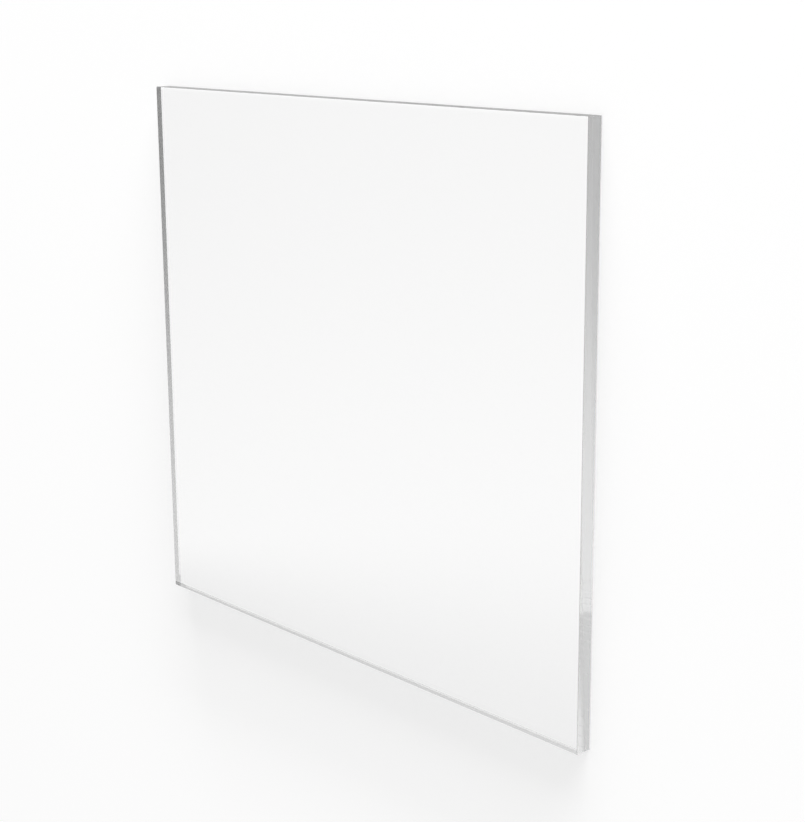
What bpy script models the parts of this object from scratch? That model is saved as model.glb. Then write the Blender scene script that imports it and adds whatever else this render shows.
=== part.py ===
"""A clear acrylic sheet: one rectangular panel, cut from cast stock, with its four edges polished.

The panel lies flat on one of its broad faces. X runs along its long side, Y along its short side,
and Z up through its thickness. The origin is the middle of the underside. Lengths are in metres.
"""

import bpy

# Driving dimensions of the panel
LONG_SIDE = 0.380
SHORT_SIDE = 0.342
THICKNESS = 0.010

# The sharp corner where two polished faces meet is scraped back by this much, in this many facets
ARRIS_WIDTH = 0.0002
ARRIS_FACETS = 3

# Look of polished clear acrylic
CLEAR_COLOUR = (0.96, 0.96, 0.96, 1.0)
POLISHED_ROUGHNESS = 0.02
ACRYLIC_INDEX = 1.49


def clear_scene():
    """Removes whatever the file opened with."""
    for old in list(bpy.data.objects):
        bpy.data.objects.remove(old, do_unlink=True)


def make_collection(name):
    """A collection of its own for the object, linked to the scene."""
    collection = bpy.data.collections.new(name)
    bpy.context.scene.collection.children.link(collection)
    return collection


def clear_acrylic():
    """Colourless, polished acrylic that light passes through."""
    material = bpy.data.materials.new("clear_acrylic")
    material.use_nodes = True
    surface = material.node_tree.nodes["Principled BSDF"]
    surface.inputs["Base Color"].default_value = CLEAR_COLOUR
    surface.inputs["Metallic"].default_value = 0.0
    surface.inputs["Roughness"].default_value = POLISHED_ROUGHNESS
    surface.inputs["IOR"].default_value = ACRYLIC_INDEX
    surface.inputs["Transmission Weight"].default_value = 1.0
    return material


def scrape_arrises(panel):
    """Rounds all twelve edges of the panel, and with them its eight corners."""
    arris = panel.modifiers.new("scraped_arris", "BEVEL")
    arris.offset_type = "OFFSET"
    arris.width = ARRIS_WIDTH
    arris.segments = ARRIS_FACETS
    arris.limit_method = "NONE"


def make_sheet(collection):
    """The panel itself, with its underside on Z = 0 and its middle over the origin."""
    bpy.ops.mesh.primitive_cube_add(size=1.0, location=(0.0, 0.0, THICKNESS / 2))
    panel = bpy.context.active_object
    panel.name = "acrylic_sheet"
    panel.scale = (LONG_SIDE, SHORT_SIDE, THICKNESS)
    bpy.ops.object.transform_apply(location=False, rotation=False, scale=True)
    scrape_arrises(panel)
    panel.data.materials.append(clear_acrylic())
    for owner in list(panel.users_collection):
        owner.objects.unlink(panel)
    collection.objects.link(panel)
    return panel


def main():
    clear_scene()
    make_sheet(make_collection("clear_acrylic_sheet"))


main()
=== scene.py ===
"""Looks of the clear acrylic sheet: its polished acrylic, a white studio floor and the photo's camera.

The sheet lies flat. The photo shows it upright, so the photo's camera is laid back with it, and the
sheet keeps its outline in the picture. Lengths are in metres, in the frame of the sheet: X along its
long side, Y up the photo and Z out of the face that the photo shows.

Clear acrylic in an evenly white room can't be seen. The greys of its edges come from the studio
around it: the walls are graded greys for light that the sheet has mirrored or let through, and the
floor has painted shade, greys painted on it that only light mirrored by the sheet sees, and a painted
glow where it is seen through the sheet. They go by place, by direction and by how often the light was
mirrored.
"""

import math

import bpy
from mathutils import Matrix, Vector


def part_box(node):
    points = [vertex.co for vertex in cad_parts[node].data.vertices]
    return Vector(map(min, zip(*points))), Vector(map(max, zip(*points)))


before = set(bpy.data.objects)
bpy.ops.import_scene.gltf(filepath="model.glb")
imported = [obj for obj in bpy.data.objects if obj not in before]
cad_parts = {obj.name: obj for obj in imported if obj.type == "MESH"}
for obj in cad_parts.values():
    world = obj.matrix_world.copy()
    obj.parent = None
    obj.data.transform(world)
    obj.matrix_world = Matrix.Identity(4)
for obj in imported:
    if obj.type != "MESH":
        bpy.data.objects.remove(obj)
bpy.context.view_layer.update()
SHEET = "acrylic_sheet"

WHITE = (1.0, 1.0, 1.0, 1.0)
BLACK = (0.0, 0.0, 0.0, 1.0)

# The frame of the photograph, in pixels, and the camera's film along the longer side, in millimetres
PHOTO_WIDE = 805
PHOTO_HIGH = 822
FOCAL_PIXELS = 1770.4
FILM_WIDTH = 36.0

# The photo's camera, from the middle of the sheet: right of it, above it and out from its front face,
# its turns, and the nearest and the farthest that it sees
CAMERA_RIGHT = 0.7919
CAMERA_ABOVE = 0.2370
CAMERA_OUT = 0.6586
CAMERA_HEADING = math.radians(48.418)
CAMERA_PITCH = math.radians(-13.660)
CAMERA_ROLL = math.radians(-0.393)
CAMERA_REACH = (0.01, 100.0)

# Optics of the acrylic: its index, and how dense its inside is to light, per metre
ACRYLIC_INDEX = 1.49
ABSORPTION = 0.2

# Its finish: clouds of haze on the faces, and polishing lines that run round the edges. A grain counts
# clouds or lines to the metre along each axis.
HAZE_GRAIN = (25.0, 25.0, 25.0)
HAZE_DETAIL = 3.0
POLISH_GRAIN = (12.0, 12.0, 2200.0)
POLISH_DETAIL = 2.0
POLISH_DEPTH = 0.0000002
NOISE_SPAN = (0.3, 0.7)
FACE_ROUGHNESS = (0.0, 0.005)
EDGE_ROUGHNESS = (0.004, 0.016)
ARRIS_ROUGHNESS = 0.2

# A point is on an edge where its normal has less than this along Z, and on a scraped arris where its
# normal has less than this along every axis
EDGE_LIMIT = 0.5
ARRIS_LIMIT = 0.99

# The floor lies a hair under the sheet, so that the underside still mirrors light inside the sheet
FLOOR_GAP = 0.0001
FLOOR_HALF = 20.0
FLOOR_WHITE = 1.0

# Painted shade on the floor beside the sheet, seen only in light that the sheet has mirrored: it
# lightens towards -Y
BESIDE_RAMP = (0.16, -0.20)
SHADE_PAINTED_BESIDE = (0.595, 0.935)

# Painted shade on the floor beside the sheet where the bottom edge has mirrored the light too, which
# takes an odd and large number of mirrorings: it lightens towards +Y and away from the sheet, and below
# a step it has one painted grey
MANY_MIRRORINGS = 11
SHADE_PAINTED_BY_FOOT = (0.78, 1.23)
FOOT_RAMP = (-0.13, -0.03)
FOOT_AWAY = (-0.001, -0.006)
FOOT_STEP = -0.1475
SHADE_PAINTED_BELOW_STEP = 0.985

# Painted shade on the floor under the sheet, seen only in light that one edge has mirrored: it lightens
# towards -Y and towards +X. Light that a corner has mirrored twice finds one painted grey, a dark dot.
UNDER_RAMP = (0.155, -0.145)
SHADE_PAINTED_UNDER = (0.30, 0.70)
UNDER_ALONG = (1.0, 1.12)
SHADE_PAINTED_IN_CORNER = 0.35

# Painted highlight: a white rim in the painted shade on the floor under the sheet, along its short and
# its long edges, which the painted glow lifts too. It ends before the lower left corner, which keeps its
# painted dark dot.
RIM_WIDTH = (0.0016, 0.0009)
RIM_END = 0.006

# Painted light: a glow that the floor gives off where it is seen through the sheet, which keeps the
# lamps' light off it. It is least at the sheet's foot, a painted shadow there, and most from a height up
# that grows along X
PAINTED_GLOW_THROUGH = (0.03, 0.13)
THROUGH_FOOT = -0.175
THROUGH_REACH = 0.092
THROUGH_FAN = 0.28
THROUGH_LEAST = 0.03

# The studio's walls, for light that the sheet has mirrored or let through: grey ahead, white to the
# sides, and another grey past a corner. The turn, the corner and the end are the Y of a direction.
WALL_GREY = 0.525
WALL_WHITE = 0.84
WALL_TURN = (0.05, 0.33)
WALL_CORNER = 0.3432
WALL_FAR = 0.66

# Past the wall's end, where the arrises turn light, it is paler for light with the most mirrorings.
# That keeps the arrises' many images faint.
WALL_END = 0.47
WALL_PAST_END = (0.76, 1.0)
MOST_MIRRORINGS = 19

# The even dome, which gives most of the light, and two long soft lamps past the sheet's top edge and a
# little to the right, one low and one higher, which give the rest: how far up each hangs, how tall it
# is and its power
DOME = 0.845
LAMP_AWAY = 8.0
LAMP_ASIDE = math.radians(12.0)
LAMP_LONG = 10.0
LOW_LAMP = (math.radians(4.2), 0.9, 735.0)
HIGH_LAMP = (math.radians(12.0), 2.6, 259.0)

# Bounces that light may make inside the sheet from edge to edge
BOUNCES = 64


def put(tree, place, value):
    """Links an output to a socket, or writes a plain number on the socket."""
    if isinstance(value, bpy.types.NodeSocket):
        tree.links.new(value, place)
    else:
        place.default_value = value


def math_of(tree, operation, first, second=0.0):
    made = tree.nodes.new("ShaderNodeMath")
    made.operation = operation
    put(tree, made.inputs[0], first)
    put(tree, made.inputs[1], second)
    return made.outputs[0]


def product(tree, first, second):
    """Two numbers multiplied. Of two shares of 0 or 1 it is 1 where both are 1."""
    return math_of(tree, "MULTIPLY", first, second)


def difference(tree, first, second):
    return math_of(tree, "SUBTRACT", first, second)


def without_sign(tree, value):
    return math_of(tree, "ABSOLUTE", value)


def larger(tree, first, second):
    """The larger of two numbers. Of two shares of 0 or 1 it is 1 where either is 1."""
    return math_of(tree, "MAXIMUM", first, second)


def smaller(tree, first, second):
    return math_of(tree, "MINIMUM", first, second)


def is_more(tree, value, limit):
    return math_of(tree, "GREATER_THAN", value, limit)


def is_less(tree, value, limit):
    return math_of(tree, "LESS_THAN", value, limit)


def at_least(tree, count, number):
    """1 where a whole count has reached the number."""
    return is_more(tree, count, number - 0.5)


def ramp_of(tree, value, low, high, at_low, at_high, kind="SMOOTHSTEP"):
    """at_low up to the value low, at_high from the value high, and a ramp in between."""
    made = tree.nodes.new("ShaderNodeMapRange")
    made.interpolation_type = kind
    made.clamp = True
    tree.links.new(value, made.inputs["Value"])
    made.inputs["From Min"].default_value = low
    made.inputs["From Max"].default_value = high
    made.inputs["To Min"].default_value = at_low
    made.inputs["To Max"].default_value = at_high
    return made.outputs["Result"]


def mixed(tree, share, first, second):
    """first where share is 0 and second where it is 1."""
    made = tree.nodes.new("ShaderNodeMix")
    made.data_type = "FLOAT"
    put(tree, made.inputs[0], share)
    put(tree, made.inputs[2], first)
    put(tree, made.inputs[3], second)
    return made.outputs[0]


def parts_of(tree, vector):
    """The X, Y and Z of a vector."""
    made = tree.nodes.new("ShaderNodeSeparateXYZ")
    tree.links.new(vector, made.inputs[0])
    return made.outputs


def noise_of(tree, where, grain, detail, low, high):
    """Cloudy numbers between low and high, with so many clouds to the metre along each axis."""
    scaled = tree.nodes.new("ShaderNodeVectorMath")
    scaled.operation = "MULTIPLY"
    tree.links.new(where, scaled.inputs[0])
    scaled.inputs[1].default_value = grain
    noise = tree.nodes.new("ShaderNodeTexNoise")
    noise.inputs["Scale"].default_value = 1.0
    noise.inputs["Detail"].default_value = detail
    tree.links.new(scaled.outputs["Vector"], noise.inputs["Vector"])
    return ramp_of(tree, noise.outputs["Fac"], *NOISE_SPAN, low, high, "LINEAR")


def lay_camera():
    """The photo's camera, laid back with the sheet."""
    camera = bpy.data.objects.new("photo_camera", bpy.data.cameras.new("photo_camera"))
    bpy.context.scene.collection.objects.link(camera)
    camera.data.sensor_width = FILM_WIDTH
    camera.data.lens = FILM_WIDTH * FOCAL_PIXELS / max(PHOTO_WIDE, PHOTO_HIGH)
    camera.data.clip_start, camera.data.clip_end = CAMERA_REACH
    camera.location = (CAMERA_RIGHT, CAMERA_ABOVE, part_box(SHEET)[1].z + CAMERA_OUT)
    camera.rotation_mode = "ZXY"
    camera.rotation_euler = (CAMERA_PITCH, CAMERA_HEADING, CAMERA_ROLL)
    bpy.context.scene.camera = camera


def clear_acrylic():
    """Cast acrylic: faint haze on the faces, fine polishing lines on the edges, matt scraped arrises."""
    material = bpy.data.materials.new("clear_acrylic")
    material.use_nodes = True
    tree = material.node_tree
    surface = tree.nodes["Principled BSDF"]
    surface.inputs["Base Color"].default_value = WHITE
    surface.inputs["IOR"].default_value = ACRYLIC_INDEX
    surface.inputs["Transmission Weight"].default_value = 1.0
    inside = tree.nodes.new("ShaderNodeVolumeAbsorption")
    inside.inputs["Color"].default_value = BLACK
    inside.inputs["Density"].default_value = ABSORPTION
    tree.links.new(inside.outputs["Volume"], tree.nodes["Material Output"].inputs["Volume"])

    where = tree.nodes.new("ShaderNodeTexCoord")
    facing = parts_of(tree, where.outputs["Normal"])
    along_z = without_sign(tree, facing["Z"])
    on_edge = is_less(tree, along_z, EDGE_LIMIT)
    sideways = larger(tree, without_sign(tree, facing["X"]), without_sign(tree, facing["Y"]))
    on_arris = is_less(tree, larger(tree, sideways, along_z), ARRIS_LIMIT)

    haze = noise_of(tree, where.outputs["Object"], HAZE_GRAIN, HAZE_DETAIL, *FACE_ROUGHNESS)
    lines = noise_of(tree, where.outputs["Object"], POLISH_GRAIN, POLISH_DETAIL, 0.0, 1.0)
    polish = ramp_of(tree, lines, 0.0, 1.0, *EDGE_ROUGHNESS, "LINEAR")
    roughness = mixed(tree, on_arris, mixed(tree, on_edge, haze, polish), ARRIS_ROUGHNESS)
    tree.links.new(roughness, surface.inputs["Roughness"])
    relief = tree.nodes.new("ShaderNodeBump")
    relief.inputs["Strength"].default_value = 1.0
    relief.inputs["Distance"].default_value = POLISH_DEPTH
    tree.links.new(product(tree, lines, on_edge), relief.inputs["Height"])
    tree.links.new(relief.outputs["Normal"], surface.inputs["Normal"])
    return material


def dress_sheet():
    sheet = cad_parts[SHEET]
    sheet.data.materials.clear()
    sheet.data.materials.append(clear_acrylic())


def inside_edges(tree, place):
    """How far a point lies inside the sheet's short edges and inside its long edges."""
    sheet_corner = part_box(SHEET)[1]
    inside_short = difference(tree, sheet_corner.x, without_sign(tree, place["X"]))
    inside_long = difference(tree, sheet_corner.y, without_sign(tree, place["Y"]))
    return inside_short, inside_long


def on_rim(tree, place, inside_short, inside_long):
    """1 along the sheet's edges, where the floor's painted white rim lies, but for the lower left
    corner.
    """
    left_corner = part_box(SHEET)[0]
    above_corner = is_more(tree, place["Y"], left_corner.y + RIM_END)
    along_short = product(tree, is_less(tree, inside_short, RIM_WIDTH[0]), above_corner)
    past_corner = is_more(tree, place["X"], left_corner.x + RIM_END)
    along_long = product(tree, is_less(tree, inside_long, RIM_WIDTH[1]), past_corner)
    return larger(tree, along_short, along_long)


def painted_shade_beside(tree, place, inside_short, mirrorings, often):
    """The painted shade on the floor beside the sheet."""
    # Painted shade by the sheet's foot: lighter towards +Y and away from the sheet, at most white, and
    # one painted grey below the step
    climb = ramp_of(tree, place["Y"], *FOOT_RAMP, 0.0, 1.0)
    away = ramp_of(tree, inside_short, *FOOT_AWAY, 0.0, 1.0, "LINEAR")
    by_foot = mixed(tree, product(tree, climb, away), *SHADE_PAINTED_BY_FOOT)
    by_foot = smaller(tree, by_foot, FLOOR_WHITE)
    by_foot = mixed(tree, is_less(tree, place["Y"], FOOT_STEP), by_foot, SHADE_PAINTED_BELOW_STEP)

    odd = at_least(tree, math_of(tree, "MODULO", mirrorings, 2.0), 1)
    # Painted shade for mirrored light beside the sheet, lighter towards -Y
    plain = ramp_of(tree, place["Y"], *BESIDE_RAMP, *SHADE_PAINTED_BESIDE)
    return mixed(tree, product(tree, odd, often), plain, by_foot)


def painted_shade_beneath(tree, place, rim, in_corner):
    """The painted shade on the floor under the sheet, with its painted white rim, and one painted grey
    for light that a corner has mirrored twice.
    """
    sheet_low, sheet_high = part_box(SHEET)
    grey = ramp_of(tree, place["Y"], *UNDER_RAMP, *SHADE_PAINTED_UNDER)
    along = ramp_of(tree, place["X"], sheet_low.x, sheet_high.x, *UNDER_ALONG, "LINEAR")
    grey = mixed(tree, rim, product(tree, grey, along), FLOOR_WHITE)
    return mixed(tree, in_corner, grey, SHADE_PAINTED_IN_CORNER)


def painted_glow_through(tree, place):
    """The painted glow of the floor where it is seen through the sheet: least at the sheet's foot, as a
    painted shadow.
    """
    fan = product(tree, place["X"], THROUGH_FAN)
    reach = larger(tree, math_of(tree, "ADD", fan, THROUGH_REACH), THROUGH_LEAST)
    above_foot = difference(tree, place["Y"], THROUGH_FOOT)
    return ramp_of(tree, math_of(tree, "DIVIDE", above_foot, reach), 0.0, 1.0, *PAINTED_GLOW_THROUGH)


def unscattered(tree, path):
    """1 for light that no dull surface has scattered between here and the camera."""
    return is_less(tree, path.outputs["Diffuse Depth"], 0.5)


def studio_floor():
    """Dull white, with painted shade that only light mirrored by the sheet sees, and a painted glow
    where it is seen through the sheet.
    """
    material = bpy.data.materials.new("studio_floor")
    material.use_nodes = True
    tree = material.node_tree
    surface = tree.nodes["Principled BSDF"]
    surface.inputs["Roughness"].default_value = 1.0
    surface.inputs["Specular IOR Level"].default_value = 0.0
    surface.inputs["Emission Color"].default_value = WHITE
    path = tree.nodes.new("ShaderNodeLightPath")
    place = parts_of(tree, tree.nodes.new("ShaderNodeNewGeometry").outputs["Position"])

    mirrorings = path.outputs["Glossy Depth"]
    straight = unscattered(tree, path)
    mirrored = product(tree, at_least(tree, mirrorings, 1), straight)
    in_corner = at_least(tree, mirrorings, 2)
    often = at_least(tree, mirrorings, MANY_MIRRORINGS)

    inside_short, inside_long = inside_edges(tree, place)
    under = is_more(tree, smaller(tree, inside_short, inside_long), 0.0)
    rim = on_rim(tree, place, inside_short, inside_long)
    beside = painted_shade_beside(tree, place, inside_short, mirrorings, often)
    beneath = painted_shade_beneath(tree, place, rim, in_corner)
    # Painted shade beside and under the sheet for mirrored light; to all other light the floor stays
    # white
    grey = mixed(tree, product(tree, under, difference(tree, 1.0, often)), beside, beneath)
    tree.links.new(mixed(tree, mirrored, FLOOR_WHITE, grey), surface.inputs["Base Color"])

    # A painted glow where the floor is seen straight through the sheet, and on its painted white rim
    through = at_least(tree, path.outputs["Transmission Depth"], 1)
    through = product(tree, through, difference(tree, straight, mirrored))
    rim_seen = product(tree, product(tree, rim, under), mirrored)
    rim_seen = product(tree, rim_seen, difference(tree, 1.0, in_corner))
    painted_glow = product(tree, larger(tree, through, rim_seen), painted_glow_through(tree, place))
    tree.links.new(painted_glow, surface.inputs["Emission Strength"])
    return material


def lay_floor():
    bpy.ops.mesh.primitive_plane_add(size=2 * FLOOR_HALF, location=(0.0, 0.0, -FLOOR_GAP))
    floor = bpy.context.active_object
    floor.name = "studio_floor"
    floor.data.materials.append(studio_floor())


def light_studio():
    """White to the camera, an even dome to the floor, and graded walls to light from the sheet."""
    world = bpy.data.worlds.new("studio")
    world.use_nodes = True
    bpy.context.scene.world = world
    tree = world.node_tree
    background = tree.nodes["Background"]
    background.inputs["Color"].default_value = WHITE
    path = tree.nodes.new("ShaderNodeLightPath")
    way = parts_of(tree, tree.nodes.new("ShaderNodeTexCoord").outputs["Generated"])

    wall = ramp_of(tree, without_sign(tree, way["Y"]), *WALL_TURN, WALL_GREY, WALL_WHITE)
    wall = mixed(tree, is_more(tree, way["Y"], WALL_CORNER), wall, WALL_FAR)
    most_mirrored = at_least(tree, path.outputs["Glossy Depth"], MOST_MIRRORINGS)
    past_end = mixed(tree, most_mirrored, *WALL_PAST_END)
    wall = mixed(tree, is_more(tree, way["Y"], WALL_END), wall, past_end)
    mirrored = path.outputs["Is Reflection Ray"]
    from_sheet = larger(tree, mirrored, path.outputs["Is Transmission Ray"])
    from_sheet = product(tree, from_sheet, unscattered(tree, path))
    plain = mixed(tree, path.outputs["Is Camera Ray"], DOME, 1.0)
    tree.links.new(mixed(tree, from_sheet, plain, wall), background.inputs["Strength"])


def hang_lamp(name, rise, tall, power):
    """A long soft lamp past the sheet's top edge, so that its shadow falls past the bottom edge."""
    lamp = bpy.data.objects.new(name, bpy.data.lights.new(name, "AREA"))
    lamp.data.shape = "ELLIPSE"
    lamp.data.size = LAMP_LONG
    lamp.data.size_y = tall
    lamp.data.energy = power
    lamp.data.cycles.use_multiple_importance_sampling = False
    lamp.visible_glossy = False
    lamp.visible_transmission = False
    across = LAMP_AWAY * math.cos(rise)
    high = LAMP_AWAY * math.sin(rise)
    lamp.location = (across * math.sin(LAMP_ASIDE), across * math.cos(LAMP_ASIDE), high)
    lamp.rotation_euler = (rise - math.pi / 2, 0.0, -LAMP_ASIDE)
    bpy.context.scene.collection.objects.link(lamp)


def set_rendering():
    """Enough bounces for light that runs the length of the sheet, and no blur on what it mirrors."""
    scene = bpy.context.scene
    scene.view_settings.view_transform = "Standard"
    scene.cycles.max_bounces = BOUNCES
    scene.cycles.transmission_bounces = BOUNCES
    scene.cycles.glossy_bounces = BOUNCES
    scene.cycles.blur_glossy = 0.0


lay_camera()
dress_sheet()
lay_floor()
light_studio()
hang_lamp("low_lamp", *LOW_LAMP)
hang_lamp("high_lamp", *HIGH_LAMP)
set_rendering()
